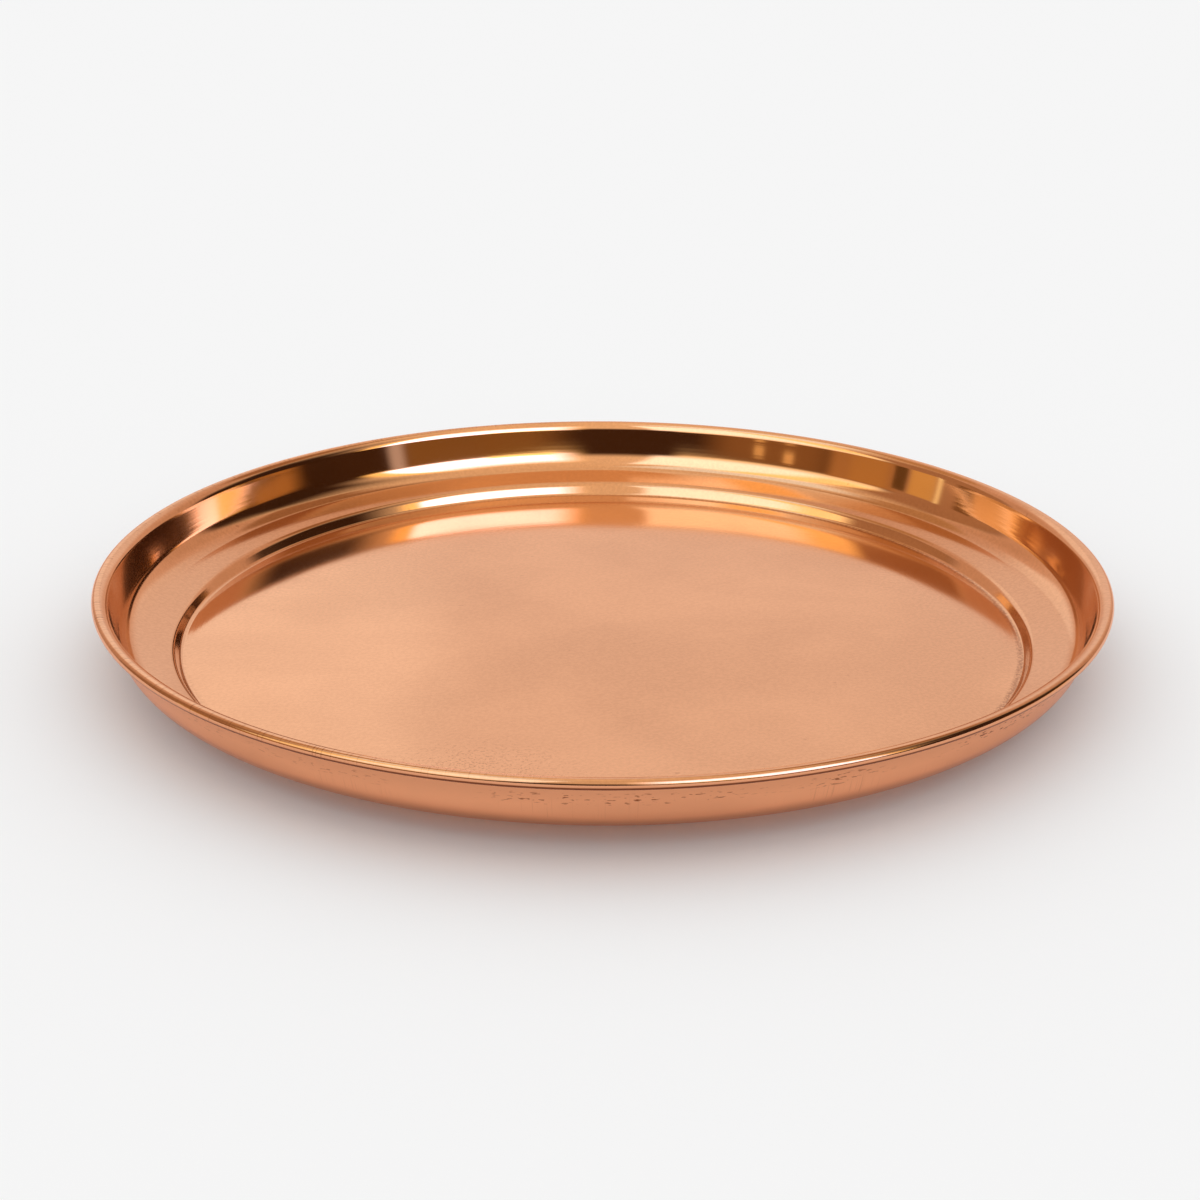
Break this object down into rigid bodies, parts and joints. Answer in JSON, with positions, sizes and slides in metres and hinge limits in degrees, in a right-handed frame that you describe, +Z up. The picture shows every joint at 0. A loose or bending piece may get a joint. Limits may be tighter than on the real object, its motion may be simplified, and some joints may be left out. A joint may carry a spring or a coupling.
{
  "type": "pooja plate",
  "caption": "Shallow round copper plate with a flat stepped floor, a hollow-curved steep wall and a rolled, wire-stiffened rim, for holding offerings.",
  "frame": {"origin": "centre of the flat underside that the plate stands on", "axes": "+Z up along the plate's axis; +X and +Y lie in the surface that it stands on, and the plate is the same all round"},
  "size_m": [0.254, 0.254, 0.0198],
  "materials": {
    "polished_copper": "mirror-polished copper sheet",
    "drawn_copper": "dull drawn copper wire"
  },
  "bodies": {
    "root": {"dish": "polished_copper", "rim_wire": "drawn_copper"}
  },
  "joints": []
}
